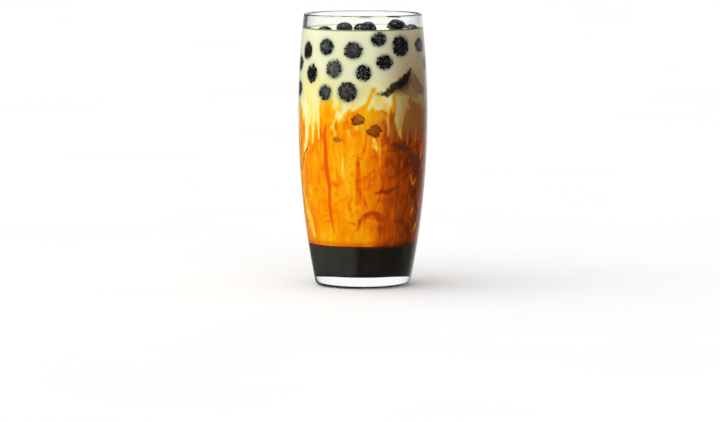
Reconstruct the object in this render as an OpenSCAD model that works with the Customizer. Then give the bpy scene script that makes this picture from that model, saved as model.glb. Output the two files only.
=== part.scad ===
// Brown sugar bubble tea in a barrel-shaped highball glass.
// A layer of dark syrup lies on the thick base, marbled tea stands on it, and creamy milk covers
// the tea. Tongues of tea rise into the milk. Cooked tapioca pearls float in the milk's surface.
// Millimetres, +Z up. The origin is the centre of the foot, on the table. The front is -Y.

/* [Glass] */
// Height from the table to the rim
glass_h = 158; // [130:1:190]
// Outside diameter at the widest place
belly_d = 75; // [62:0.5:90]
// How far the wall draws in on each side, from the widest place up to the rim
rim_in = 3.4; // [2.5:0.1:4.5]
// Radius of the wall's long upright curve
barrel_r = 496; // [440:2:620]
// Thickness of the side wall
wall = 2; // [1.5:0.1:2.6]
// Thickness of the solid glass under the syrup
base_t = 7; // [6:0.5:12]
// Rounding of the outside bottom edge
heel_r = 3; // [3:0.5:6]
// Rounding of the inside bottom corner
corner_r = 4; // [3:0.5:6]
// Width of the flat ring that the glass stands on
ring_w = 5; // [3:0.5:8]
// Depth of the shallow hollow inside that ring
punt_h = 1.2; // [0.5:0.1:2]

/* [Drink] */
// Free height between the milk's surface and the rim
headspace = 8.5; // [7.5:0.5:14]
// Depth of the syrup layer
syrup_h = 18; // [12:0.5:24]
// Depth of the milk above the level that the tea stands at between its tongues
milk_h = 50; // [36:1:56]
// Height that the milk climbs at the glass
meniscus_h = 0.6; // [0.4:0.1:1]
// Number of tongues of tea that rise into the milk along the glass
tongue_n = 12; // [8:1:16]
// Height of the tallest tongue
tongue_h = 14; // [8:1:18]
// Width of a tongue at its root
tongue_d = 12; // [7:0.5:14]
// Clearance between one filling and the next, and between them and the glass
fill_gap = 0.1; // [0.05:0.05:0.3]

/* [Pearls] */
// Diameter of the largest cooked pearl
pearl_d = 10; // [8:0.5:12]
// How much smaller the smallest pearl is
pearl_uneven = 1.4; // [0:0.2:2.4]
// Width of the flat that a soft pearl has on its top and underside
pearl_flat = 2.4; // [1:0.2:4]
// Height that the proudest pearl stands out of the milk
pearl_proud = 6.2; // [3:0.2:6.6]
// Clearance round a pearl
pearl_gap = 0.1; // [0.05:0.05:0.3]

/* [Hidden] */
// The floating pearls. Each row holds the ring (0 lies against the glass, 1 lies inside ring 0),
// the direction from the front in degrees, the share of pearl_uneven that the pearl lacks, and
// the share of pearl_proud that it stands out.
pearls = [
    [0, -50, 0.9, 0.35],
    [0, -22, 0.3, 0.8],
    [0, 6, 0.2, 0.75],
    [0, 43, 0.0, 1.0],
    [0, 80, 1.0, 0.4],
    [0, 130, 0.5, 0.5],
    [1, -3, 0.6, 0.6],
    [1, 88, 0.1, 0.5],
    [1, 170, 0.4, 0.45],
];
$fn = 96;
curve_fn = 720;

// The wall's long curve is an arc about [curve_x, belly_z], the height of the widest place.
curve_x = belly_d / 2 - barrel_r;
belly_z = glass_h - sqrt(2 * barrel_r * rim_in - rim_in * rim_in);

// The rim is a full round on the middle of the wall. rim_lean is its angle on the long curve.
rim_z = glass_h - wall / 2;
rim_lean = asin((rim_z - belly_z) / (barrel_r - wall / 2));

// Levels in the glass
syrup_z = base_t + syrup_h;
milk_z = glass_h - headspace;
tea_z = milk_z - milk_h;

// What fills the glass lies this far inside the outer face.
fill_inset = wall + fill_gap;

// Round of the milk's edge where it climbs at the glass, and the thickness of the edge's lip
meniscus_r = 2 * meniscus_h;
lip_w = 0.2;

// How far the rounds of the glass and the syrup are proud of the surfaces that they join
lap = 0.002;

// How deep the tongues are rooted in the tea, and the radius of a tip as a share of the root's
root_h = 3;
tip_share = 0.3;

// Radius, at height z, of the curve that lies inset inside the outer face
function wall_x(inset, z) = curve_x + sqrt(pow(barrel_r - inset, 2) - pow(z - belly_z, 2));

// Point at distance d from the centre of the long curve, on the line through the rim's round
function rim_point(d) = [curve_x + d * cos(rim_lean), belly_z + d * sin(rim_lean)];

// A number from 0 to 1 that jumps about as k counts up
function jump(k) = abs(sin(k * 137.5 + 40));

function pearl_size(k) = pearl_d - pearl_uneven * pearls[k][2];

function pearl_half_h(k) = (pearl_size(k) - pearl_flat) / 2;

function pearl_z(k) = milk_z + pearl_proud * pearls[k][3] - pearl_half_h(k);

function pearl_reach(k) = wall_x(wall + pearl_gap + pearl_d / 2, pearl_z(k))
    - pearls[k][0] * (pearl_d + pearl_gap);

// Half section of a slice of the glass, from z0 up to z1, inside the curve at inset
module slice_half(inset, z0, z1) {
    intersection() {
        translate([curve_x, belly_z]) circle(barrel_r - inset, $fn = curve_fn);
        translate([0, z0]) square([belly_d, z1 - z0]);
    }
}

// The same with its bottom corner rounded, down to z0. The round crosses the long curve and the
// bottom, because it is proud of both by lap.
module vessel_half(inset, z0, corner, z1) {
    z = z0 + corner - lap;
    middle = [wall_x(inset + corner - lap, z), z];
    lean = asin((belly_z - z) / (barrel_r - inset - corner));
    out = corner * [cos(lean), -sin(lean)];
    intersection() {
        slice_half(inset, z0, z1);
        union() {
            translate(middle) circle(corner);
            translate([0, z0 - 1]) square([middle.x, z1 - z0 + 2]);
            polygon([
                middle - out / 2,
                middle + 2 * out,
                [belly_d, (middle + 2 * out).y],
                [belly_d, z1 + 1],
                [(middle - out / 2).x, z1 + 1],
            ]);
        }
    }
}

// Half section of the shallow hollow under the base
module punt_half() {
    r = wall_x(heel_r, heel_r) - ring_w;
    dome_r = (r * r + punt_h * punt_h) / (2 * punt_h);
    translate([0, punt_h - dome_r]) circle(dome_r, $fn = curve_fn);
}

// What is cut off the top of the wall, from the line on which the rim's round begins
module rim_cut_half() {
    inner = rim_point(barrel_r - 2 * wall);
    outer = rim_point(barrel_r + wall);
    polygon([inner, outer, outer + [0, 2 * wall], inner + [0, 2 * wall]]);
}

// Half section of the dished free space above the milk
module dish_half() {
    across = sqrt(pow(meniscus_r, 2) - pow(meniscus_r - meniscus_h, 2));
    edge_x = wall_x(fill_inset + lip_w, milk_z + meniscus_h) - across;
    translate([0, milk_z]) square([edge_x, meniscus_r]);
    translate([edge_x, milk_z + meniscus_r]) circle(meniscus_r);
}

// Tongue number k, a blunt flame of tea beside the glass
module tongue(k, grow) {
    r = tongue_d * (0.65 + 0.35 * jump(k + 5)) / 2 + grow;
    h = tongue_h * (0.4 + 0.6 * jump(k)) + root_h + grow;
    tip_r = r * tip_share;
    tip = [0, h - tip_r];
    lean = acos(tip_r / norm([r, tip.y])) - atan2(tip.y, r);
    touch = tip + tip_r * [cos(lean), sin(lean)];
    rotate(360 / tongue_n * (k + 0.3 * jump(k + 2)))
    translate([wall_x(wall + tongue_d / 4, tea_z), 0, tea_z - root_h])
    rotate_extrude()
    intersection() {
        union() {
            polygon([[0, 0], [r, 0], touch, [0, touch.y]]);
            translate(tip) circle(tip_r);
        }
        square([r + 1, h + 1]);
    }
}

module tongues(grow) {
    for (k = [1:tongue_n]) tongue(k, grow);
}

// Pearl number k, grown all over
module pearl_shape(k, grow) {
    h = pearl_half_h(k) + grow;
    rotate(pearls[k][1] - 90)
    translate([pearl_reach(k), 0, pearl_z(k)])
    rotate_extrude()
    intersection() {
        union() {
            translate([pearl_flat / 2, 0]) circle(h);
            translate([0, -h]) square([pearl_flat / 2, 2 * h]);
        }
        translate([0, -h]) square([h + pearl_flat, 2 * h]);
    }
}

module glass() {
    color("lightcyan", 0.35)
    rotate_extrude() {
        difference() {
            vessel_half(0, 0, heel_r, glass_h);
            vessel_half(wall, base_t, corner_r, glass_h + wall);
            punt_half();
            rim_cut_half();
        }
        translate(rim_point(barrel_r - wall / 2)) circle(wall / 2 + lap);
    }
}

module syrup() {
    color([0.12, 0.1, 0.08])
    rotate_extrude()
    vessel_half(fill_inset, base_t + fill_gap, corner_r - fill_gap, syrup_z - fill_gap / 2);
}

module tea() {
    color([0.93, 0.55, 0.12])
    union() {
        rotate_extrude() slice_half(fill_inset, syrup_z + fill_gap / 2, tea_z);
        intersection() {
            rotate_extrude() slice_half(fill_inset, tea_z - root_h, milk_z);
            tongues(0);
        }
    }
}

module milk() {
    color([0.98, 0.96, 0.83])
    difference() {
        rotate_extrude()
        difference() {
            slice_half(fill_inset, tea_z + fill_gap, milk_z + meniscus_h);
            dish_half();
        }
        tongues(fill_gap);
        for (k = [0:len(pearls) - 1]) pearl_shape(k, pearl_gap);
    }
}

module pearl(k) {
    color([0.08, 0.06, 0.06]) pearl_shape(k, 0);
}

glass();
syrup();
tea();
milk();
for (k = [1:len(pearls)]) {
    pearl(k - 1);
}
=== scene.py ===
"""Brown sugar bubble tea in a barrel-shaped highball glass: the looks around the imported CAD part.

Directions are in degrees round the glass from its front (-Y), positive towards +X. Sizes in the tables
are in millimetres, and everything built is in metres.
"""

import math

import bmesh
import bpy
import numpy as np
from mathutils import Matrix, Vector


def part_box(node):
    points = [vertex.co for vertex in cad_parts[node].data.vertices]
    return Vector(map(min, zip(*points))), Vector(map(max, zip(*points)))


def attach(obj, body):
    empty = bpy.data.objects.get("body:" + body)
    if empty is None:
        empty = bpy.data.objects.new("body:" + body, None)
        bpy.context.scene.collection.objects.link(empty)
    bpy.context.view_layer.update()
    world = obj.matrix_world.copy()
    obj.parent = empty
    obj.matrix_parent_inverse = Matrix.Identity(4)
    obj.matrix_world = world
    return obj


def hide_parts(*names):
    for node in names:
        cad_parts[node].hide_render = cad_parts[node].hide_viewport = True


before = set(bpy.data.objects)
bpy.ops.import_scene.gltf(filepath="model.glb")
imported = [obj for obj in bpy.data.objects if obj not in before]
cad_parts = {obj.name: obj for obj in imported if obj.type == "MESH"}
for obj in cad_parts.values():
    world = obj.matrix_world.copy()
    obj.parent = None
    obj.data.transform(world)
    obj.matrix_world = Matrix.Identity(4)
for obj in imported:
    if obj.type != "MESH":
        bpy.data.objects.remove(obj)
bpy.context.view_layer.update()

MM = 0.001

# ---------------------------------------------------------------- sizes, from the frame and the CAD source

glass_low, glass_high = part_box("glass")
GLASS_H = glass_high.z
BELLY_R = (glass_high.x - glass_low.x) / 2
WALL = 2.0 * MM
RIM_IN = 3.4 * MM
BARREL_R = 496.0 * MM
BASE_T = 7.0 * MM
HEEL_R = 3.0 * MM
CORNER_R = 4.0 * MM
RING_W = 5.0 * MM
PUNT_H = 1.2 * MM
MENISCUS_H = 0.6 * MM

CURVE_X = BELLY_R - BARREL_R
BELLY_Z = GLASS_H - math.sqrt(2 * BARREL_R * RIM_IN - RIM_IN**2)
SYRUP_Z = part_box("tea")[0].z
MILK_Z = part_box("milk")[1].z - MENISCUS_H

REACH = 0.15 * MM  # how far what fills the glass reaches into its wall
TOUCH_R = 35.5  # radius of the drink's side in millimetres, for sizes along it


def wall_x(inset, z):
    """Radius, at height z, of the curve that lies inset inside the glass's outer face."""
    return CURVE_X + np.sqrt((BARREL_R - inset) ** 2 - (z - BELLY_Z) ** 2)


def drink_r(z):
    """Radius of the drink's side at height z."""
    return wall_x(WALL - REACH, z)


# ---------------------------------------------------------------- numpy helpers


def smooth(t):
    """0 up to t = 0, 1 from t = 1, and a soft step between them."""
    t = np.clip(t, 0.0, 1.0)
    return t * t * (3 - 2 * t)


# Large odd numbers that spread the numbers of a cell and its seed
SPREAD = (374761393, 668265263, 2246822519)
SPREAD_SEED = 3266489917
SPREAD_AGAIN = 1274126177
LOW_32 = 0xFFFFFFFF
LOW_24 = 0xFFFFFF


def lattice(cell, seed):
    """A random number from 0 to 1 for each whole-number cell."""
    c = cell.astype(np.int64)
    h = sum(c[..., k] * SPREAD[k] for k in range(3))
    h = (h + seed * SPREAD_SEED) & LOW_32
    h = ((h ^ (h >> 13)) * SPREAD_AGAIN) & LOW_32
    return ((h ^ (h >> 16)) & LOW_24) / LOW_24


def value_noise(p, seed):
    """Random numbers on whole-number places, blended softly between them."""
    cell = np.floor(p)
    f = smooth(p - cell)
    total = 0.0
    for corner in range(8):
        step = np.array([corner & 1, corner >> 1 & 1, corner >> 2 & 1])
        share = np.prod(np.where(step, f, 1 - f), axis=-1)
        total = total + share * lattice(cell + step, seed)
    return total


def fractal(p, size, octaves, seed):
    """Noise from -1 to 1 with features of about size, a number or one for each axis."""
    total, reach, q = 0.0, 0.0, p / np.asarray(size)
    for k in range(octaves):
        total = total + 0.5**k * (2 * value_noise(q * 2**k, seed + k) - 1)
        reach += 0.5**k
    return total / reach


def around(direction, r, z):
    """Points at a direction in degrees, a radius and a height."""
    a = np.radians(direction)
    return np.stack([r * np.sin(a), -r * np.cos(a), z + 0 * a], axis=-1)


def turn_between(a, b):
    """Signed turn in degrees from b to a, from -180 to 180."""
    return (a - b + 180) % 360 - 180


def turns_of(points):
    """The direction in degrees of each point."""
    return np.degrees(np.arctan2(points[:, 0], -points[:, 1]))


# ---------------------------------------------------------------- mesh helpers


def new_object(name, points, faces, material):
    mesh = bpy.data.meshes.new(name)
    mesh.from_pydata(np.asarray(points).tolist(), [], faces)
    mesh.polygons.foreach_set("use_smooth", [True] * len(mesh.polygons))
    mesh.materials.append(material)
    mesh.validate()
    obj = bpy.data.objects.new(name, mesh)
    bpy.context.scene.collection.objects.link(obj)
    return obj


def ring_faces(rings, segments):
    """Quads between neighbouring rings of a surface that closes round the axis."""
    faces = []
    for j in range(rings - 1):
        for i in range(segments):
            a = j * segments + i
            b = j * segments + (i + 1) % segments
            faces.append((a, b, b + segments, a + segments))
    return faces


def lathe(name, outline, segments, material):
    """Turns an outline of (radius, height) about Z. The outline starts and ends on the axis."""
    turns = np.arange(segments) * 360 / segments
    inner = outline[1:-1]
    points = np.concatenate([around(turns, r, z) for r, z in inner])
    points = np.concatenate([points, [[0, 0, outline[0][1]], [0, 0, outline[-1][1]]]])
    faces = ring_faces(len(inner), segments)
    start, end = len(points) - 2, len(points) - 1
    last = (len(inner) - 1) * segments
    for i in range(segments):
        n = (i + 1) % segments
        faces.append((start, n, i))
        faces.append((end, last + i, last + n))
    return new_object(name, points, faces, material)


def points_of(obj):
    """Where the points of an object's mesh lie."""
    return np.array([v.co for v in obj.data.vertices])


def arc(centre, radius, start, stop, steps):
    """Points on an arc, from one angle in degrees to another."""
    a = np.radians(np.linspace(start, stop, steps))
    return [(centre[0] + radius * math.cos(t), centre[1] + radius * math.sin(t)) for t in a]


CORNER_STEPS = 12


def vessel_outline(inset, z0, corner, z1, steps):
    """The lower centre, the rounded corner and the long curve of a surface that lies inset inside the
    glass."""
    cx = wall_x(inset + corner, z0 + corner)
    lean = math.degrees(math.asin((BELLY_Z - z0 - corner) / (BARREL_R - inset - corner)))
    points = [(0.0, z0), (cx * 0.5, z0)]
    points += arc((cx, z0 + corner), corner, -90, -lean, CORNER_STEPS)
    for z in np.linspace(points[-1][1], z1, steps)[1:]:
        points.append((float(wall_x(inset, z)), float(z)))
    return points


def paint(obj, name, values):
    """A number for each point of a mesh, for its material to read."""
    obj.data.attributes.new(name, "FLOAT", "POINT").data.foreach_set("value", values.astype(np.float32))


# ---------------------------------------------------------------- materials


def linear(r, g, b):
    """A colour given as 0 to 255 on screen, as linear light."""
    out = []
    for c in (r, g, b):
        c = c / 255
        out.append(c / 12.92 if c <= 0.04045 else ((c + 0.055) / 1.055) ** 2.4)
    return np.array(out)


BLACK = (0, 0, 0, 1)
WHITE = (1, 1, 1, 1)
TURNED_BACK = 0.17  # share of the light from the drink that the glass's outer face throws back at it


def through_wall(r, g, b):
    """The colour that what fills the glass needs, to look as given from outside the wall, which turns some
    light back."""
    seen = linear(r, g, b)
    return (*(seen / (1 - TURNED_BACK + TURNED_BACK * seen)), 1.0)


class Tree:
    """A node tree, built with few words."""

    def __init__(self, tree):
        self.tree = tree

    def add(self, kind, **fields):
        node = self.tree.nodes.new(kind)
        for key, value in fields.items():
            setattr(node, key, value)
        return node

    def link(self, out, into):
        self.tree.links.new(out, into)

    def attribute(self, name):
        """What paint() left on the mesh under this name."""
        return self.add("ShaderNodeAttribute", attribute_name=name).outputs["Fac"]

    def noise(self, size, detail=3.0, stretch=(1, 1, 1), distortion=0.0):
        """Noise with features of about size, in metres, in the object's own coordinates."""
        place = self.add("ShaderNodeMapping")
        place.inputs["Scale"].default_value = [1 / s for s in stretch]
        self.link(self.add("ShaderNodeTexCoord").outputs["Object"], place.inputs["Vector"])
        node = self.add("ShaderNodeTexNoise")
        node.inputs["Scale"].default_value = 1 / size
        node.inputs["Detail"].default_value = detail
        node.inputs["Distortion"].default_value = distortion
        self.link(place.outputs["Vector"], node.inputs["Vector"])
        return node.outputs["Fac"]

    def math(self, operation, a, b, c=None, clamp=False):
        """The result of a calculation with numbers or other nodes' outputs."""
        node = self.add("ShaderNodeMath", operation=operation, use_clamp=clamp)
        for k, value in enumerate((a, b, c)):
            if isinstance(value, (int, float)):
                node.inputs[k].default_value = value
            elif value is not None:
                self.link(value, node.inputs[k])
        return node.outputs[0]

    def ramp(self, factor, stops):
        """A colour for each factor, by stops of (place, colour)."""
        node = self.add("ShaderNodeValToRGB")
        elements = node.color_ramp.elements
        while len(elements) < len(stops):
            elements.new(0.5)
        for element, (place, colour) in zip(elements, stops):
            element.position = place
            element.color = colour
        self.link(factor, node.inputs["Fac"])
        return node.outputs["Color"]

    def mix(self, factor, a, b):
        """Colour a at factor 0, b at factor 1. Each may be a value or another node's output."""
        node = self.add("ShaderNodeMix", data_type="RGBA")
        for socket, value in (("Factor", factor), ("A", a), ("B", b)):
            places = [s for s in node.inputs if s.name == socket and s.enabled]
            if hasattr(value, "is_output"):
                self.link(value, places[0])
            else:
                places[0].default_value = value
        return [s for s in node.outputs if s.enabled][0]


class Nodes(Tree):
    """A new material's node tree. Constants are set on the shader's own sockets."""

    def __init__(self, name):
        self.material = bpy.data.materials.new(name)
        self.material.use_nodes = True
        super().__init__(self.material.node_tree)
        self.shader = self.tree.nodes["Principled BSDF"]

    def set(self, **values):
        for socket, value in values.items():
            self.shader.inputs[socket.replace("_", " ")].default_value = value

    def bump(self, height, strength, distance):
        node = self.add("ShaderNodeBump")
        node.inputs["Strength"].default_value = strength
        node.inputs["Distance"].default_value = distance
        self.link(height, node.inputs["Height"])
        self.link(node.outputs["Normal"], self.shader.inputs["Normal"])


def glass_material():
    """Clear glass, greyed at the rim by painted shade, and slightly wavy."""
    n = Nodes("clear_glass")
    tint = n.mix(n.attribute("rim"), (0.985, 0.995, 0.99, 1), (0.42, 0.43, 0.40, 1))
    n.link(tint, n.shader.inputs["Base Color"])
    n.set(Roughness=0.0, IOR=1.5, Transmission_Weight=1.0)
    n.bump(n.noise(9 * MM, 1.0, stretch=(1, 1, 2.5)), 0.08, 0.1 * MM)
    return n.material


def syrup_material():
    """Black-brown syrup, with a dull sheen painted into its colour as a reflection, and a brown edge under
    the tea.
    """
    n = Nodes("brown_sugar_syrup")
    haze = n.noise(14 * MM, 3.0, stretch=(1, 1, 1.6), distortion=1.2)
    colour = n.ramp(haze, [(0.3, through_wall(24, 20, 15)), (0.75, through_wall(38, 35, 27))])
    colour = n.mix(n.attribute("painted_sheen"), colour, through_wall(60, 58, 52))
    n.link(n.mix(n.attribute("edge"), colour, through_wall(96, 30, 4)), n.shader.inputs["Base Color"])
    n.set(Roughness=0.3, Specular_IOR_Level=0.0)
    return n.material


# The colour on screen of the drink, by its milkiness
MILKINESS = [
    (0.00, (42, 18, 6)),
    (0.12, (88, 38, 6)),
    (0.25, (140, 56, 3)),
    (0.36, (194, 78, 1)),
    (0.46, (235, 110, 0)),
    (0.54, (250, 138, 0)),
    (0.62, (255, 163, 0)),
    (0.70, (255, 186, 14)),
    (0.78, (255, 208, 66)),
    (0.86, (255, 232, 122)),
    (0.93, (255, 247, 168)),
    (1.00, (252, 251, 212)),
]

# The tints that are painted over the drink, the lowest first. Several are painted light and shade: the shade
# on the right, the plum shade, the ice's dull light and dark edge, the dark line at the milk's edge.
DRINK_TINTS = [
    ("red", (228, 82, 8)),
    ("shade_and_stain", (146, 100, 50)),
    ("plum", (100, 46, 28)),
    ("ice", (124, 92, 72)),
    ("dark", (34, 20, 12)),
    ("halo", (112, 128, 120)),
    ("crumbs", (24, 24, 24)),
    ("rim_line", (40, 42, 58)),
]


def drink_material():
    """Tea and milk, with fine streaks and wisps where the painted milkiness isn't calm."""
    n = Nodes("marbled_milk_tea")
    streaks = n.noise(1.7 * MM, 4.0, stretch=(1, 1, 9), distortion=0.4)
    wisps = n.noise(5.0 * MM, 4.0, stretch=(1, 1, 2.5), distortion=1.2)
    calm = n.math("MULTIPLY_ADD", n.attribute("milkiness"), -1.9, 2.0, clamp=True)
    stir = n.math("ADD", n.math("SUBTRACT", streaks, 0.5), n.math("SUBTRACT", wisps, 0.5))
    milk = n.math("MULTIPLY_ADD", stir, n.math("MULTIPLY", calm, 0.19), n.attribute("milkiness"))
    colour = n.ramp(milk, [(place, through_wall(*c)) for place, c in MILKINESS])
    for name, tint in DRINK_TINTS:
        colour = n.mix(n.attribute(name), colour, through_wall(*tint))
    n.link(colour, n.shader.inputs["Base Color"])
    n.set(Roughness=0.35, Specular_IOR_Level=0.0)
    return n.material


def sunk_pearl_material():
    """Pearls behind a thin film of milk, blotched with grey that is partly the film and partly a painted
    reflection, and flecked with painted glints.
    """
    n = Nodes("tapioca_under_milk")
    blotch = n.noise(2.4 * MM, 3.0)
    speck = n.noise(0.9 * MM, 3.0)
    tone = n.math("MULTIPLY_ADD", n.math("SUBTRACT", blotch, 0.5), 0.8, n.attribute("tone"))
    black, mid, grey = through_wall(5, 2, 4), through_wall(52, 52, 52), through_wall(116, 120, 112)
    colour = n.ramp(tone, [(0.0, black), (0.45, mid), (1.0, grey)])
    # Painted glints: pale flecks in the colour
    glints = n.ramp(speck, [(0.55, BLACK), (0.66, WHITE)])
    glints = n.math("MULTIPLY", glints, n.attribute("glint"))
    n.link(n.mix(glints, colour, through_wall(206, 216, 196)), n.shader.inputs["Base Color"])
    n.set(Roughness=0.4, Specular_IOR_Level=0.0)
    return n.material


def tea_pearl_material():
    """Pearls behind a thin film of tea."""
    n = Nodes("tapioca_under_tea")
    tone = n.math("MULTIPLY_ADD", n.noise(2.2 * MM, 3.0), 0.6, n.attribute("tone"))
    brown, amber, pale = through_wall(98, 40, 4), through_wall(152, 78, 6), through_wall(206, 130, 62)
    colour = n.ramp(tone, [(0.2, brown), (0.6, amber), (1.0, pale)])
    n.link(colour, n.shader.inputs["Base Color"])
    n.set(Roughness=0.4, Specular_IOR_Level=0.0)
    return n.material


def floating_pearl_material():
    """Wet black pearls, wrinkled, with milk clinging to them and painted glints of light on them."""
    n = Nodes("wet_tapioca")
    film = n.math("MULTIPLY_ADD", n.math("SUBTRACT", n.noise(1.3 * MM, 4.0), 0.5), 2.2, n.attribute("film"))
    bare = (0.0003, 0.0003, 0.0006, 1)
    filmed = (0.002, 0.002, 0.003, 1)
    milky = (0.05, 0.055, 0.048, 1)
    colour = n.ramp(film, [(0.0, bare), (0.5, filmed), (1.0, milky)])
    # Painted glints: pale flecks in the colour, standing in for highlights
    glints = n.ramp(n.noise(2.2 * MM, 3.0, distortion=2.2), [(0.585, BLACK), (0.62, WHITE)])
    glints = n.math("MULTIPLY", glints, n.attribute("glint"))
    n.link(n.mix(glints, colour, (0.42, 0.45, 0.46, 1)), n.shader.inputs["Base Color"])
    n.set(Roughness=0.1, Specular_IOR_Level=0.4)
    n.bump(n.noise(1.2 * MM, 3.0, distortion=0.8), 0.9, 0.6 * MM)
    return n.material


def floor_material():
    """A pale, matt table."""
    n = Nodes("pale_floor")
    grain = n.ramp(n.noise(0.2, 2.0), [(0.3, (0.54, 0.535, 0.53, 1)), (0.7, (0.56, 0.555, 0.55, 1))])
    n.link(grain, n.shader.inputs["Base Color"])
    n.set(Roughness=0.9, Specular_IOR_Level=0.0)
    return n.material


# ---------------------------------------------------------------- glass


GLASS_SEGMENTS = 256
WALL_STEPS = 60
PUNT_STEPS = 14
RIM_STEPS = 17


def glass_piece():
    """The whole glass: hollow under the base, outer wall, round rim, inner wall and floor."""
    outer = vessel_outline(0, 0, HEEL_R, GLASS_H - WALL, WALL_STEPS)[2:]
    ring_r = outer[0][0] - RING_W
    dome_r = (ring_r**2 + PUNT_H**2) / (2 * PUNT_H)
    punt = []
    for r in np.linspace(0, ring_r, PUNT_STEPS):
        punt.append((r, PUNT_H - dome_r + math.sqrt(dome_r**2 - r * r)))
    rim_z = GLASS_H - WALL / 2
    rim_lean = math.degrees(math.asin((rim_z - BELLY_Z) / (BARREL_R - WALL / 2)))
    rim = arc((wall_x(WALL / 2, rim_z), rim_z), WALL / 2, rim_lean, rim_lean + 180, RIM_STEPS)
    inner = vessel_outline(WALL, BASE_T, CORNER_R, GLASS_H - WALL, WALL_STEPS)
    outline = punt + outer + rim + inner[::-1]
    obj = lathe("glass_body", outline, GLASS_SEGMENTS, glass_material())
    co = points_of(obj)
    # Painted shade: the top of the glass is tinted grey, for the dark line that the rim shows
    paint(obj, "rim", smooth((co[:, 2] - GLASS_H) / (0.8 * MM) + 1.4))
    return obj


glass = glass_piece()
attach(glass, "root")
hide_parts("glass")

# ---------------------------------------------------------------- syrup


SYRUP_SEGMENTS = 192
SYRUP_STEPS = 40


def syrup_piece():
    """The syrup on the base. Its painted sheen, a painted reflection, lies towards both sides."""
    outline = vessel_outline(WALL - REACH, BASE_T - REACH, CORNER_R, SYRUP_Z, SYRUP_STEPS)
    outline += [(outline[-1][0] * s, SYRUP_Z) for s in (0.9, 0.5)] + [(0.0, SYRUP_Z)]
    obj = lathe("syrup_layer", outline, SYRUP_SEGMENTS, syrup_material())
    co = points_of(obj)
    paint(obj, "edge", smooth((co[:, 2] - SYRUP_Z) / (1.2 * MM) + 1))
    # Painted sheen: lighter towards the left and the right edge, a painted reflection of the studio light
    turn = turns_of(co) + 6 * fractal(co / MM, (6, 6, 12), 2, 31)
    left = smooth((-2 - turn) / 14) * smooth((turn + 120) / 40)
    right = smooth((turn - 48) / 12)
    paint(obj, "painted_sheen", 0.8 * left + 0.7 * right)
    return obj


syrup = syrup_piece()
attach(syrup, "root")
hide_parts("syrup")

# ---------------------------------------------------------------- where the pearls lie

# Pearls sunk in the milk against the glass: direction, height, width, height of the pearl, tone from
# black (0) to grey (1), the grey partly a painted reflection, share of painted glints
MILK_PEARLS = [
    (-64, 137.2, 9.4, 9.4, 0.10, 0.1),
    (-36.9, 140, 9.6, 9.2, 0.55, 0.2),
    (-9, 138.2, 10.6, 9.8, 0.45, 0.3),
    (15.5, 144.6, 9.4, 8.0, 0.10, 0.9),
    (39, 140.5, 12.2, 12.2, 0.10, 0.3),
    (67, 140.4, 10.0, 7.6, 0.75, 0.4),
    (-27.7, 127.5, 9.8, 10.2, 0.60, 0.8),
    (0.6, 125.5, 8.6, 8.8, 0.08, 0.8),
    (21, 131.6, 9.8, 8.6, 0.08, 0.5),
    (-54.5, 124.5, 8.6, 9.4, 0.05, 0.2),
    (-37, 114, 8.6, 8.4, 0.55, 0.1),
    (-14.4, 114.5, 11.2, 10.8, 0.52, 0.1),
    (83, 129.4, 9.0, 8.0, 0.70, 0.3),
    (-81, 129.4, 9.0, 8.6, 0.30, 0.2),
    (-80, 114.9, 9.0, 8.6, 0.30, 0.2),
]

# The same for pearls sunk in the tea
TEA_PEARLS = [
    (-5, 98.4, 8.4, 7.0, 0.35, 0.0),
    (10.8, 92, 10.4, 8.0, 0.25, 0.0),
    (-24, 87.2, 5.6, 3.4, 0.55, 0.0),
]

MOST_TRIES = 4000

rng = np.random.default_rng(7)


def scatter(table, wanted, low, high, first, last, apart):
    """Adds pearls between two heights and two directions, each apart from those already there."""
    for _ in range(MOST_TRIES):
        if len(table) >= wanted:
            break
        turn = rng.uniform(first, last)
        z = rng.uniform(low, high)
        size = rng.uniform(8.4, 10.8)
        away = [math.hypot(math.radians(turn_between(turn, p[0])) * TOUCH_R, z - p[1]) for p in table]
        if min(away) > apart:
            tall = size * rng.uniform(0.85, 1.05)
            tone = rng.uniform(0.05, 0.6)
            glint = rng.uniform(0, 0.8)
            table.append((turn, z, size, tall, tone, glint))


scatter(MILK_PEARLS, wanted=29, low=112, high=144.5, first=95, last=268, apart=12.5)
scatter(TEA_PEARLS, wanted=9, low=60, high=100, first=100, last=262, apart=20)

# ---------------------------------------------------------------- strokes of milk, tea and ice

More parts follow.
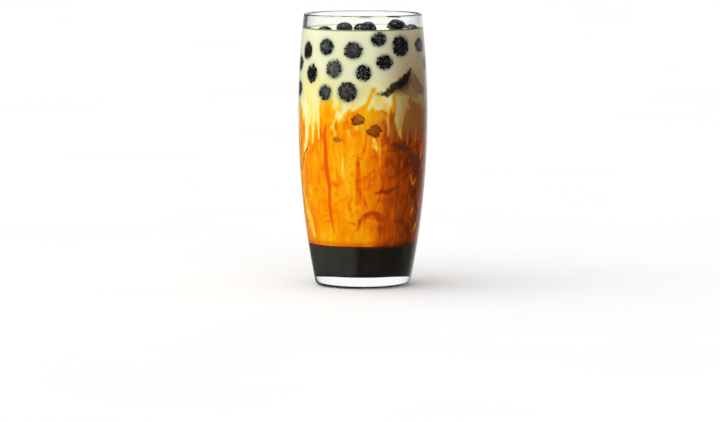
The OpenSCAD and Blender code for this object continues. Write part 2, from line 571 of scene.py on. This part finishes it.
# Each stroke has the milkiness that it tends to, its strength, how soft its edge is, and the points it
# runs through as (direction, height, half width).
STROKES = [
    # broad fields of amber, gold and brown
    (0.60, 0.7, 5.0, [(-62, 82, 6), (-60, 60, 7), (-52, 40, 6)]),
    (0.66, 0.7, 4.0, [(-28, 80, 4), (-26, 66, 4), (-24, 50, 4)]),
    (0.69, 0.7, 3.0, [(-12, 92, 3), (-11, 76, 3), (-12, 62, 3), (-14, 44, 3)]),
    (0.62, 0.7, 3.0, [(-36, 108, 4), (-37, 100, 4), (-38, 92, 2)]),
    (0.64, 0.8, 2.0, [(-2, 101, 3), (9, 100.5, 3), (20, 100, 2)]),
    (0.50, 0.7, 4.0, [(9, 74, 4), (10, 62, 4), (14, 50, 3)]),
    (0.36, 0.6, 5.0, [(26, 76, 4), (28, 64, 6), (26, 48, 5), (30, 34, 5)]),
    (0.26, 0.6, 5.0, [(40, 70, 5), (44, 52, 6), (46, 36, 6)]),
    # cream that sinks into the tea, on the left
    (0.94, 0.9, 1.8, [(-86, 120, 4), (-81, 96, 1.5), (-79, 84, 0.5)]),
    (0.94, 1.0, 2.0, [(-60, 120, 8), (-63, 100, 5.0), (-63, 88, 1.8), (-69, 74, 0.8)]),
    (0.94, 1.0, 1.8, [(-52, 118, 7), (-52, 100, 4.0), (-50.5, 91, 1.6), (-52, 83, 0.5)]),
    (0.93, 0.9, 1.0, [(-45, 112, 3), (-45.5, 100, 1.2), (-44.5, 88, 0.4)]),
    (0.56, 0.9, 1.0, [(-48.5, 98, 0.3), (-48.5, 92, 1.0), (-49, 82, 1.4)]),
    (0.56, 0.9, 1.0, [(-67, 101, 0.3), (-67, 94, 1.0), (-70, 84, 1.6)]),
    (0.52, 0.8, 1.0, [(-77, 108, 0.6), (-76, 96, 1.0), (-74, 82, 1.0)]),
    # cream in the middle
    (0.92, 0.95, 1.5, [(-16, 111, 4.0), (-23, 101, 2.4), (-30, 95, 1.0)]),
    (0.88, 0.8, 1.0, [(-29, 95, 1.2), (-26.5, 87, 0.4)]),
    (0.93, 0.9, 1.0, [(-17, 106, 1.6), (-18.5, 98, 0.5)]),
    (0.94, 0.9, 1.5, [(-8, 112, 4.0), (-7, 106.5, 2.6)]),
    (0.86, 0.8, 1.2, [(-10, 98, 1.0), (-6, 95, 1.4)]),
    (0.50, 0.8, 1.0, [(-18, 101, 0.5), (-14, 95, 1.2), (-11, 91, 0.8)]),
    (0.54, 0.8, 1.0, [(-24, 99, 0.3), (-26, 95, 1.0), (-25, 90, 0.8)]),
    (0.88, 1.0, 1.5, [(8, 108, 2.0), (14, 108.5, 3.6), (21, 106, 3.0)]),
    (0.63, 1.0, 0.8, [(0, 103, 2.2), (3, 107, 1.6), (7, 111, 1.2), (9, 114.5, 0.8), (12, 117, 0.3)]),
    (0.60, 0.9, 0.6, [(9, 114, 0.6), (13, 113.5, 0.4), (16, 112.5, 0.3)]),
    (0.86, 0.9, 0.9, [(9, 87, 1.0), (10.5, 84, 1.8), (12, 81.5, 1.0)]),
    (0.76, 0.8, 0.8, [(15, 87, 0.5), (16, 78, 0.6)]),
    (0.85, 0.9, 0.9, [(-18.8, 76, 0.2), (-18.9, 69, 1.1), (-19, 64.5, 1.1)]),
    (0.44, 0.8, 1.4, [(-4, 78, 0.5), (-4, 68, 1.4), (-5, 61, 1.0)]),
    (0.43, 0.8, 1.4, [(-4, 58, 1.6), (1, 52, 1.4), (5, 48, 0.9)]),
    (0.47, 0.7, 1.0, [(4, 92, 0.5), (3, 86, 1.0), (1, 80, 0.8)]),
    (0.45, 0.8, 1.0, [(18, 92, 0.8), (20, 84, 1.4), (22, 80, 1.0)]),
    # the right, where the tea is darkest
    (0.60, 0.9, 0.9, [(29, 114, 0.8), (29.5, 108, 1.5), (29, 103, 1.1)]),
    (0.84, 0.9, 0.8, [(24.5, 107, 1.0), (23.5, 98, 0.8), (24, 90, 0.3)]),
    (0.34, 0.9, 0.8, [(27.6, 102, 0.3), (27.4, 92, 0.8), (28, 86, 0.5)]),
    (0.90, 1.0, 1.5, [(37, 116, 4.0), (36, 105, 3.4), (35, 97, 2.6), (36, 91, 1.2), (38, 87, 0.4)]),
    (0.28, 0.9, 1.2, [(49, 109, 2.0), (57, 104, 4.5), (63, 99, 4.0), (72, 98, 3.0)]),
    (0.34, 0.8, 2.0, [(50, 94, 4.0), (60, 88, 5.0), (72, 86, 3.0)]),
    (0.66, 0.7, 0.8, [(55.5, 96, 0.4), (56, 86, 0.4)]),
    (0.62, 0.7, 0.8, [(46, 93, 0.4), (45, 84, 0.4)]),
    (0.70, 0.7, 0.8, [(68, 84, 0.4), (66, 74, 0.5)]),
    (0.74, 0.8, 0.8, [(76, 72, 0.5), (74, 58, 0.5), (70, 46, 0.4)]),
    (0.66, 0.8, 0.8, [(60, 50, 0.4), (56, 42, 0.6)]),
    (0.66, 0.8, 1.0, [(70, 40, 0.8), (66, 33, 0.8)]),
    (0.50, 0.6, 1.0, [(36, 54, 0.5), (35, 42, 0.7)]),
]

# Curved strands, which the streaks don't tear
STRANDS = [
    (0.02, 1.0, 0.6, [(-58, 83.5, 0.1), (-62, 80.5, 0.3), (-68, 77, 0.4), (-73, 72, 0.4), (-76, 68, 0.2)]),
    (0.92, 0.9, 0.6, [(-59.5, 82.4, 0.4), (-58.5, 80, 0.5)]),
    (0.94, 0.9, 0.7, [(-71.5, 73, 0.4), (-74, 65, 0.5)]),
    (0.88, 0.9, 0.7, [(-63, 60, 0.3), (-59, 55, 0.5)]),
    (0.22, 0.9, 1.8, [(12, 56, 0.6), (18, 57.5, 1.0), (25, 57, 1.3), (31, 59, 1.1), (39, 60.5, 0.4)]),
    (0.32, 0.6, 3.0, [(16, 52, 1.0), (28, 53, 2.0), (38, 56, 1.0)]),
    (0.53, 0.7, 2.0, [(6, 40, 1.5), (10, 38, 3.0), (11, 32, 2.5)]),
    (
        0.36,
        0.85,
        2.0,
        [(-6, 35, 0.8), (-3, 40, 1.2), (2, 43, 1.4), (9, 45, 1.3), (16, 43.5, 1.5), (21, 39.5, 1.6)],
    ),
    (0.30, 0.8, 1.0, [(1, 43.5, 0.5), (8, 45.5, 0.6), (14, 44.5, 0.4)]),
    (0.44, 0.7, 2.4, [(-10, 54, 0.6), (-14, 50, 1.2), (-12, 44, 0.8)]),
    (0.46, 0.7, 2.0, [(-30, 62, 0.6), (-25, 60, 1.0), (-21, 62, 0.6)]),
    (0.45, 0.7, 2.0, [(10, 70, 0.6), (16, 68, 1.2), (22, 70, 0.8)]),
    (0.68, 0.7, 2.0, [(-30, 76, 1.6), (-26, 71, 2.0), (-28, 66, 1.4)]),
    (0.40, 0.8, 0.9, [(-13, 48, 0.5), (-12, 47, 0.5)]),
    (0.40, 0.8, 0.9, [(-14, 39.5, 0.6), (-8, 38.5, 0.7)]),
    (0.80, 0.95, 1.6, [(-79, 58, 1.0), (-72, 47, 2.6), (-66, 37, 3.2), (-61, 31, 1.6)]),
    (0.12, 0.7, 2.6, [(30, 84.5, 0.8), (34, 83.5, 1.5), (39, 82, 1.3)]),
    (0.16, 0.9, 1.0, [(41, 81, 0.8), (50, 81, 0.6), (58, 82, 0.5)]),
    (0.80, 0.8, 0.8, [(50.5, 65.5, 0.3), (54.5, 60.5, 0.5)]),
    (0.80, 0.8, 0.8, [(61, 65.5, 0.3), (56, 60.5, 0.5)]),
    (0.30, 0.8, 0.9, [(-4, 76.5, 0.4), (0, 76, 0.4)]),
]

# The strokes of a tint have their strength, how soft their edge is, and their points. These are redder
# threads.
RED_STROKES = [
    (0.95, 1.2, [(-36, 96, 0.3), (-38, 90, 1.1), (-37, 80, 1.5), (-36, 70, 1.6), (-34, 60, 1.4)]),
    (0.90, 1.2, [(-34, 60, 1.4), (-35, 50, 1.1), (-34, 42, 1.1), (-32, 33, 0.4)]),
    (0.50, 1.2, [(-82, 70, 0.6), (-80, 50, 0.8), (-76, 34, 0.6)]),
    (0.50, 1.4, [(-3, 74, 0.3), (-4, 62, 1.2), (-6, 50, 0.4)]),
    (0.45, 1.4, [(-26, 70, 0.3), (-24, 62, 0.8), (-26, 54, 0.4)]),
    (0.40, 2.0, [(-60, 50, 0.4), (-58, 40, 0.8), (-54, 30, 0.4)]),
    (0.50, 2.4, [(-60, 27.5, 0.6), (-20, 26.5, 1.0), (20, 27, 0.8)]),
]

# Painted shade on the right, plum-coloured
PLUM_STROKES = [
    (0.60, 3.0, [(28, 83.5, 1.5), (36, 83, 2.6), (47, 80, 2.2)]),
    (0.85, 2.0, [(50, 77, 2.0), (60, 72, 5.0), (60, 66, 2.5)]),
    (0.6, 2.0, [(50, 60, 1.5), (58, 54, 2.5), (64, 46, 1.5)]),
    (0.7, 2.0, [(80, 84, 1.0), (76, 66, 2.0), (72, 50, 1.5)]),
    # the right edge of the ice
    (0.75, 1.0, [(51, 127, 0.2), (56, 123.4, 0.5), (63, 118.6, 0.6), (76, 113, 0.5)]),
]

# The corner of an ice cube, painted: the dull light through it, and the shade on its upper left edge
ICE_STROKES = [
    (0.85, 1.8, [(50, 124.5, 1.0), (54, 119.5, 3.6), (61, 115.5, 3.2), (70, 113, 1.5)]),
    (0.60, 3.0, [(32, 114.5, 1.5), (45, 115.5, 3.0), (56, 112, 2.5)]),
]

# The ice's upper left edge, in painted shade
ICE_EDGE_STROKES = [
    (1.0, 1.6, [(36, 118.8, 2.6), (42, 120.8, 3.2), (46.5, 124.0, 1.9), (50.3, 127.2, 0.4)]),
    (0.97, 1.2, [(13.5, 113.4, 0.4), (17, 113.3, 1.0), (22, 113.8, 1.9), (28, 116.8, 2.7), (36, 118.8, 2.6)]),
    (0.7, 3.4, [(33, 116, 1.2), (44, 117.6, 2.4), (49, 120.5, 1.4)]),
    (0.8, 0.6, [(39, 115.8, 0.3), (42, 114, 0.2), (48, 112, 0.2)]),
]


def stroke_mask(turn, z, soft, points):
    """1 inside a stroke over the drink's side, falling to 0 over its soft edge."""
    width = math.radians(1) * TOUCH_R
    inside = np.full(turn.shape, -1e9)
    x = turn_between(turn, points[0][0]) * width
    for (ta, za, ra), (tb, zb, rb) in zip(points[:-1], points[1:]):
        ax, bx = (ta - points[0][0]) * width, (tb - points[0][0]) * width
        dx, dz = bx - ax, zb - za
        t = np.clip(((x - ax) * dx + (z - za) * dz) / (dx * dx + dz * dz), 0, 1)
        away = np.hypot(x - ax - t * dx, z - za - t * dz)
        inside = np.maximum(inside, ra + t * (rb - ra) - away)
    return smooth(inside / soft + 0.5)


def strokes_at(turn, z, strokes):
    """How strongly any of the strokes covers each point."""
    total = np.zeros(turn.shape)
    for strength, soft, points in strokes:
        total = np.maximum(total, strength * stroke_mask(turn, z, soft, points))
    return total


def scatter_strokes(count):
    """Adds strokes on the sides that the front doesn't show, like those in the front."""
    for k in range(count):
        turn = rng.uniform(90, 268)
        lean = rng.uniform(-5, 5)
        half = rng.uniform(0.8, 3.2)
        bend, down, end = lean, 0.5, 0.0
        kind = k % 5
        if kind < 2:  # cream that sinks into the tea
            tops, lengths, targets = (106, 114), (12, 34), (0.86, 0.95)
            widths = (half * 1.4, half, 0.3)
        elif kind == 2:  # amber that rises into the cream
            tops, lengths, targets = (106, 113), (10, 20), (0.52, 0.64)
            widths = (0.3, half * 0.7, half)
        elif kind == 3:  # a dark strand
            tops, lengths, targets = (45, 96), (10, 30), (0.24, 0.5)
            widths = (0.4, half * 0.6, 0.5)
            end = -lean
        else:  # a pale strand
            tops, lengths, targets = (40, 90), (6, 22), (0.7, 0.9)
            widths = (0.2, half * 0.5, 0.4)
            bend, down = lean * 0.4, 0.6
        top = rng.uniform(*tops)
        length = rng.uniform(*lengths)
        target = rng.uniform(*targets)
        points = [
            (turn, top, widths[0]),
            (turn + bend, top - length * down, widths[1]),
            (turn + end, top - length, widths[2]),
        ]
        strength = rng.uniform(0.7, 1.0)
        soft = rng.uniform(0.8, 2.0)
        STROKES.append((target, strength, soft, points))


scatter_strokes(70)

# How much darker the tea is towards the right, by direction: partly darker tea, partly painted shade
DARKER_TEA_AND_SHADE = [(-8, 0), (9, 0.06), (16, 0.15), (23, 0.25), (38, 0.34), (57, 0.38), (100, 0.28), (150, 0)]


def milkiness(turn, z, torn_turn, torn_z, p):
    """From 0, dark tea, to 1, milk, for directions, heights and points in millimetres. The torn ones shift
    to and fro in fine streaks."""
    # Tea below, darker to the right, partly painted shade, and at the syrup, and milk above a level that
    # wanders
    edge = 105 + 2.5 * fractal(p, (8, 8, 60), 2, 3)
    over = smooth((torn_z - edge) / 6 + 0.5)
    streak = fractal(p, (2.2, 2.2, 22), 3, 5)
    blot = fractal(p, (6.5, 6.5, 10), 3, 8)
    high = smooth((z - 62) / 30)
    tea = 0.63 + (0.06 + 0.07 * high) * streak + (0.15 - 0.05 * high) * blot
    tea = tea - np.interp(turn, *zip(*DARKER_TEA_AND_SHADE))
    tea = tea - 0.22 * smooth((28.5 - z) / 6)
    milk = 0.99 - 0.055 * smooth((128 - torn_z) / 16) + 0.03 * fractal(p, 9, 3, 24)
    level = tea + (milk - tea) * over
    for target, strength, soft, points in STROKES:
        mask = strength * stroke_mask(torn_turn, torn_z, soft, points)
        level = level + mask * (target + 0.05 * streak - level)
    for target, strength, soft, points in STRANDS:
        mask = strength * stroke_mask(turn, z, soft, points)
        level = level + mask * (target - level)
    # Feathers where the two meet, and folds that are dark on one side in the tea
    feathers = smooth((z - 82) / 10) * smooth((115 - z) / 8)
    petals = smooth((z - 28) / 8) * smooth((100 - z) / 14)
    fold = 2.4 * fractal(p + 30, (9, 9, 13), 2, 44)
    fold = fold - np.floor(fold)
    shade = smooth(fold / 0.07) * np.exp(-fold / 0.3)
    level = level + 0.20 * feathers * fractal(p, (2.6, 2.6, 7), 3, 26) + petals * (0.03 - 0.15 * shade)
    return np.clip(level, 0, 1)


# The dark that shows through the milk round a pearl: how strong, and how far it reaches in millimetres
HALO_CLOSE, HALO_CLOSE_MM = 0.64, 1.1
HALO_WIDE, HALO_WIDE_MM = 0.22, 2.6
SHADE_ON_TOP = 0.22  # painted shade: a grey-blue tint on the milk's surface, among the floating pearls


def halo(turn, z, table, torn):
    """How much of the pearls' dark shows through the milk round them, and their ragged outlines. torn
    shifts the outlines to and fro."""
    total = np.zeros(turn.shape)
    ragged = np.zeros(turn.shape)
    for direction, height, wide, tall, *_ in table:
        across = np.radians(turn_between(turn, direction)) * TOUCH_R
        away = np.hypot(across / (wide / 2), (z - height) / (tall / 2)) - 0.92
        away = np.clip(away * wide / 2, 0, None)
        close = HALO_CLOSE * np.exp(-((away / HALO_CLOSE_MM) ** 2))
        wide_off = HALO_WIDE * np.exp(-away / HALO_WIDE_MM)
        total = np.maximum(total, close + wide_off)
        ragged = np.maximum(ragged, smooth((0.25 + 1.3 * torn - away) / 0.5))
    return total, ragged


# How strongly the milk on the right is darkened, by height: painted shade, partly a stain from the tea
SHADE_AND_STAIN_BY_HEIGHT = [(84, 0), (94, 0.8), (118, 0.8), (131, 0.66), (148, 0.46)]


def paint_drink(obj, points, side):
    """Paints what the drink's material reads, for points in millimetres. side is True on the drink's side."""
    # Places wander a little, tear in fine upright streaks, and crumble at the ice's edge.
    turn = turns_of(points) + 1.5 * fractal(points, (7, 7, 14), 3, 11)
    z = points[:, 2] + 0.9 * fractal(points, (7, 7, 14), 3, 17)
    torn_turn = turn + 1.6 * fractal(points, (2.2, 2.2, 9), 3, 14)
    torn_z = z + 2.6 * fractal(points, (1.8, 1.8, 22), 2, 19)
    ragged_turn = turn + 1.6 * fractal(points, 1.3, 2, 31)
    ragged_z = z + 1.0 * fractal(points, 1.3, 2, 37)

    top = 0.985 + 0.02 * fractal(points, 7, 3, 21)
    paint(obj, "milkiness", np.where(side, milkiness(turn, z, torn_turn, torn_z, points), top))
    paint(obj, "red", np.where(side, strokes_at(turn, z, RED_STROKES), 0))

    # The milk is darker and browner towards the right, painted shade that is partly a stain from the tea, but
    # for a clear pocket, and faintly peach in the middle.
    right = smooth((turn - 3) / 46) * smooth((125 - turn) / 25)
    pocket = stroke_mask(turn, z, 4.0, [(10, 116, 4), (22, 110, 3), (26, 104, 2)])
    deep = np.interp(z, *zip(*SHADE_AND_STAIN_BY_HEIGHT)) * (1 - 0.75 * pocket)
    peach = 0.15 * stroke_mask(turn, z, 5.0, [(-8, 111, 3), (4, 116, 4), (15, 112, 4)])
    paint(obj, "shade_and_stain", np.where(side, np.maximum(right * deep, peach), 0))
    paint(obj, "plum", np.where(side, strokes_at(turn, z, PLUM_STROKES), 0))

    # The ice's dark edge, painted shade, has crumbs of milk in its lower end.
    crumbly = smooth((34 - turn) / 8) * smooth((fractal(points + 50, 1.4, 2, 51) - 0.1) / 0.25)
    dark = strokes_at(ragged_turn, ragged_z, ICE_EDGE_STROKES) * (1 - 0.5 * crumbly)
    paint(obj, "ice", np.where(side, strokes_at(turn, z, ICE_STROKES), 0))
    paint(obj, "dark", np.where(side, dark, 0))


# ---------------------------------------------------------------- drink

SIDE_SEGMENTS = 400
SIDE_RINGS = 216
TOP_RINGS = 22


def drink_piece():
    """One closed body for the tea and the milk, so fine that its marbling is painted on its points."""
    turns = np.arange(SIDE_SEGMENTS) * 360 / SIDE_SEGMENTS
    lip = 0.25 * MM  # width of the milk's edge at the glass
    heights = np.linspace(SYRUP_Z, MILK_Z + MENISCUS_H, SIDE_RINGS)
    rings = [(float(drink_r(z)), z) for z in heights]
    edge_r = rings[-1][0] - REACH - lip
    for t in np.linspace(0, 1, TOP_RINGS):
        r = edge_r * (1 - t * t * 0.985)
        climb = math.exp(-(edge_r - r) / (0.9 * MM))
        rings.append((r, MILK_Z + MENISCUS_H * climb * 0.95))
    points = np.concatenate([around(turns, r, z) for r, z in rings])
    bottom, top = len(points), len(points) + 1
    points = np.concatenate([points, [[0, 0, SYRUP_Z], [0, 0, MILK_Z]]])
    faces = ring_faces(len(rings), SIDE_SEGMENTS)
    last = (len(rings) - 1) * SIDE_SEGMENTS
    for i in range(SIDE_SEGMENTS):
        n = (i + 1) % SIDE_SEGMENTS
        faces.append((bottom, n, i))
        faces.append((top, last + i, last + n))
    obj = new_object("milk_tea", points, faces, drink_material())

    p = points / MM
    side = np.arange(len(p)) < SIDE_RINGS * SIDE_SEGMENTS
    paint_drink(obj, p, side)
    turn = turns_of(p)
    shade, ragged = halo(turn, p[:, 2], MILK_PEARLS, fractal(p, 1.5, 2, 33))
    # On the side, the pearls' dark through the milk; on the milk's surface, an even painted shade
    paint(obj, "halo", np.where(side, shade, SHADE_ON_TOP))
    paint(obj, "crumbs", np.where(side, 0.9 * ragged, 0))
    # Painted shade: the dark line where the milk climbs at the glass, weaker at the back
    wet = smooth((p[:, 2] - MILK_Z / MM + 0.25) / 0.4) * smooth((np.hypot(p[:, 0], p[:, 1]) - 30) / 1.0)
    near = 0.4 + 0.6 * smooth((110 - np.abs(turn)) / 20)
    paint(obj, "rim_line", 0.9 * wet * near)
    return obj


drink = drink_piece()
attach(drink, "root")
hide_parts("tea", "milk")

# ---------------------------------------------------------------- pearls


def ball(levels):
    """Points and triangles of a round ball with a radius of 1."""
    mesh = bpy.data.meshes.new("ball")
    shape = bmesh.new()
    bmesh.ops.create_icosphere(shape, subdivisions=levels, radius=1)
    shape.to_mesh(mesh)
    shape.free()
    points = np.array([v.co for v in mesh.vertices])
    faces = np.array([tuple(f.vertices) for f in mesh.polygons])
    bpy.data.meshes.remove(mesh)
    return points, faces


BALL, BALL_FACES = ball(4)
PEARL_ROUND = 1.5  # how far the edge of a pressed pearl's face falls back, in millimetres
PEARL_DEPTH = 5.5  # how deep the rest of it reaches into the drink


def pressed_pearls(name, table, material, proud, edge):
    """Pearls pressed flat against the glass: one joined mesh. Each outline is uneven, and its face stands
    a little proud of the drink's side, inside the wall. edge is how much darker its rim is."""
    all_points, all_faces, tones, glints = [], [], [], []
    for k, (direction, height, wide, tall, tone, glint) in enumerate(table):
        a, b, c = BALL[:, 0], BALL[:, 1], BALL[:, 2]
        place = BALL + 10 * k
        rough = fractal(place, 0.7, 2, 40) * 0.30 + fractal(place, 0.22, 2, 50) * 0.52
        spread = 1.0 + rough
        across = a * wide / 2 * spread
        up = b * tall / 2 * spread
        z = (height + up) * MM
        face_r = drink_r(z) / MM
        front = proud - PEARL_ROUND * (1 - np.clip(c, 0, 1)) ** 3
        back = proud - PEARL_ROUND + c * PEARL_DEPTH * spread
        r = face_r + np.where(c >= 0, front, back)
        turn = direction + np.degrees(across / face_r)
        all_faces.append(BALL_FACES + len(all_points) * len(BALL))
        all_points.append(around(turn, r * MM, z))
        rim = smooth((np.hypot(a, b) - 0.5) / 0.4)
        lean = math.cos(k * 2.4)  # each pearl's grey lies more to one side or the other
        tones.append(tone + 0.18 * a * lean + 0.12 * b - edge * rim)
        # Painted glints, strongest round each pearl's rim
        glints.append(glint * 0.25 + max(glint, 0.45) * 0.75 * rim)
    obj = new_object(name, np.concatenate(all_points), np.concatenate(all_faces).tolist(), material)
    paint(obj, "tone", np.concatenate(tones))
    paint(obj, "glint", np.concatenate(glints))
    return obj


milk_pearls = pressed_pearls(
    "pearls_in_milk", MILK_PEARLS, sunk_pearl_material(), proud=0.35, edge=0.45
)
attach(milk_pearls, "root")

tea_pearls = pressed_pearls(
    "pearls_in_tea", TEA_PEARLS, tea_pearl_material(), proud=0.22, edge=0.18
)
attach(tea_pearls, "root")

FILM = [0.45, 0.85, 0.30, 0.0, 0.3, 0.3, 0.2, 0.05, 0.3]  # how much milk clings to each floating pearl
GLINT = [0.2, 0.3, 0.7, 1.0, 0.6, 0.7, 0.6, 0.6, 0.5]  # how strongly each one's painted glints show

wet_tapioca = floating_pearl_material()


def floating_pearl(number, film, glint):
    """A wrinkled pearl in the place of a CAD pearl."""
    low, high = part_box(f"pearl_{number}")
    centre = np.array((low + high) / 2)
    half = np.array((high - low) / 2)
    shape = BALL + 7.0 * number
    dent = 0.12 * fractal(shape, 0.9, 2, 60) + 0.08 * fractal(shape, 0.35, 2, 70)
    points = centre + BALL * half * np.minimum(0.97 + dent, 1.0)[:, None]
    obj = new_object(f"floating_pearl_{number}", points, BALL_FACES.tolist(), wet_tapioca)
    paint(obj, "film", np.full(len(points), film))
    # Painted glints, on the upper half of each pearl only
    paint(obj, "glint", glint * smooth(BALL[:, 2] / 0.5 + 0.2))
    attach(obj, "root")
    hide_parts(f"pearl_{number}")


for number, (film, glint) in enumerate(zip(FILM, GLINT), 1):
    floating_pearl(number, film, glint)

# ---------------------------------------------------------------- ice


# The directions that the ice lies between, and the heights of its top and bottom edge by direction
ICE_FIRST, ICE_LAST = 16, 84
ICE_TOP = [(16, 112.5), (51, 127.0), (84, 110.0)]
ICE_BOTTOM = [(16, 111.0), (34, 104.0), (60, 101.0), (84, 107.0)]
ICE_DEPTH = 0.25  # how far the back of the slab lies in, as a share of the way to the axis


def ice_piece():
    """The corner of an ice cube against the glass, under a film of the drink, which it takes its colour
    from. A thin slab: its front face, the same face drawn in towards the axis, and the edge between them."""
    columns, rows = 60, 36
    turns = np.linspace(ICE_FIRST, ICE_LAST, columns)
    top_z = np.interp(turns, *zip(*ICE_TOP))
    bottom_z = np.interp(turns, *zip(*ICE_BOTTOM))
    front = []
    for t in np.linspace(0, 1, rows):
        z = top_z + (bottom_z - top_z) * t
        inner = np.minimum(min(t, 1 - t) * 14, np.minimum(turns - ICE_FIRST, ICE_LAST - turns) / 3)
        proud = 0.16 - 0.5 * np.clip(1 - inner, 0, 1) ** 2
        front.append(around(turns, drink_r(z * MM) + proud * MM, z * MM))
    front = np.concatenate(front)
    faces = []
    for j in range(rows - 1):
        for i in range(columns - 1):
            a = j * columns + i
            faces.append((a + columns, a + columns + 1, a + 1, a))
            faces.append(tuple(len(front) + v for v in (a, a + 1, a + columns + 1, a + columns)))
    last = (rows - 1) * columns
    loop = list(range(columns)) + [j * columns + columns - 1 for j in range(1, rows)]
    loop += [last + i for i in range(columns - 2, -1, -1)] + [j * columns for j in range(rows - 2, 0, -1)]
    for a, b in zip(loop, loop[1:] + loop[:1]):
        faces.append((a, b, b + len(front), a + len(front)))
    points = np.concatenate([front, front * np.array([1 - ICE_DEPTH, 1 - ICE_DEPTH, 1.0])])
    obj = new_object("ice_corner", points, faces, drink.data.materials[0])
    paint_drink(obj, points / MM, True)
    return obj


ice = ice_piece()
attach(ice, "root")

# ---------------------------------------------------------------- stage, light and camera


def floor_piece():
    """A table too big to end in view, which neither the glass mirrors nor shows."""
    size = 9.0
    corners = [(-size, -size, 0), (size, -size, 0), (size, size, 0), (-size, size, 0)]
    floor = new_object("floor", corners, [(0, 1, 2, 3)], floor_material())
    floor.location.z = -0.05 * MM
    floor.visible_glossy = False
    floor.visible_transmission = False


# Brightness of the studio round the glass, by direction from the front: what the glass mirrors, what
# shows through it, and what lights everything
MIRRORED = [
    (-180, 0.4),
    (-165, 0.3),
    (-150, 0.1),
    (-98, 0.05),
    (122, 0.05),
    (138, 0.3),
    (156, 0.8),
    (180, 0.8),
]
THROUGH = [(-180, 1.05), (180, 1.05)]
LIGHTING = [(-180, 1.3), (-130, 2.3), (-90, 3.2), (-20, 3.2), (20, 1.9), (50, 0.5), (140, 0.4), (180, 1.3)]

# Brightness of the ceiling as a mirror shows it, as it shows through and as it lights, of the lamp in the
# ceiling, and of the light from below
CEILING_MIRRORED = 0.06
CEILING_THROUGH = 0.1
CEILING_LIGHTING = 2.0
LAMP = 8.0
FROM_BELOW = 1.0


def light_the_world():
    """A studio with a big soft light on the left and from above, and little light from the right. What is
    mirrored, what shows straight through the glass and what lights the part are told apart by the path
    that the light has taken."""
    world = bpy.data.worlds.new("studio")
    bpy.context.scene.world = world
    world.use_nodes = True
    world.cycles.sampling_method = "NONE"
    n = Tree(world.node_tree)
    way = n.add("ShaderNodeSeparateXYZ")
    n.link(n.add("ShaderNodeTexCoord").outputs["Generated"], way.inputs[0])
    turn = n.math("ARCTAN2", way.outputs["X"], n.math("MULTIPLY", way.outputs["Y"], -1))
    share = n.math("MULTIPLY_ADD", turn, 1 / math.tau, 0.5)
    path = n.add("ShaderNodeLightPath").outputs

    def grey(bright):
        return (bright, bright, bright, 1)

    def sweep(lights):
        """Brightness by direction round the glass."""
        return n.ramp(share, [((direction + 180) / 360, grey(b)) for direction, b in lights])

    def above(low, high):
        """0 below one angle over the horizon, 1 above the other."""
        low, high = (math.sin(math.radians(a)) for a in (low, high))
        return n.math("MULTIPLY_ADD", way.outputs["Z"], 1 / (high - low), low / (low - high), clamp=True)

    window = n.ramp(share, [(0.30, BLACK), (0.32, WHITE), (0.44, WHITE), (0.46, BLACK)])
    lamp = n.math("MULTIPLY", above(52, 54), window)
    ceiling = n.mix(lamp, grey(CEILING_MIRRORED), grey(LAMP))
    mirrored = n.mix(above(35, 42), sweep(MIRRORED), ceiling)
    through = n.mix(above(12, 16), sweep(THROUGH), grey(CEILING_THROUGH))
    lighting = n.mix(above(45, 65), sweep(LIGHTING), grey(CEILING_LIGHTING))
    lighting = n.mix(above(-2, 0), grey(FROM_BELOW), lighting)
    straight = n.math("SUBTRACT", path["Is Transmission Ray"], path["Glossy Depth"], clamp=True)
    seen = n.mix(straight, mirrored, through)
    bounced = n.math("MULTIPLY", path["Diffuse Depth"], 1.0, clamp=True)
    colour = n.mix(bounced, seen, lighting)
    n.link(colour, world.node_tree.nodes["Background"].inputs["Color"])


CAMERA_AWAY = 2.6
CAMERA_HEIGHT = 0.293
CAMERA_AIM = Vector((-1.7 * MM, 0, 42.85 * MM))
CAMERA_LENS = 224.4


def set_camera():
    """A far camera with a long lens, a little above the glass."""
    camera = bpy.data.objects.new("camera", bpy.data.cameras.new("camera"))
    bpy.context.scene.collection.objects.link(camera)
    camera.location = (CAMERA_AIM.x, -CAMERA_AWAY, CAMERA_HEIGHT)
    camera.rotation_euler = (CAMERA_AIM - camera.location).to_track_quat("-Z", "Y").to_euler()
    camera.data.lens = CAMERA_LENS
    bpy.context.scene.camera = camera


floor_piece()
light_the_world()
set_camera()
bpy.context.scene.view_settings.view_transform = "Standard"

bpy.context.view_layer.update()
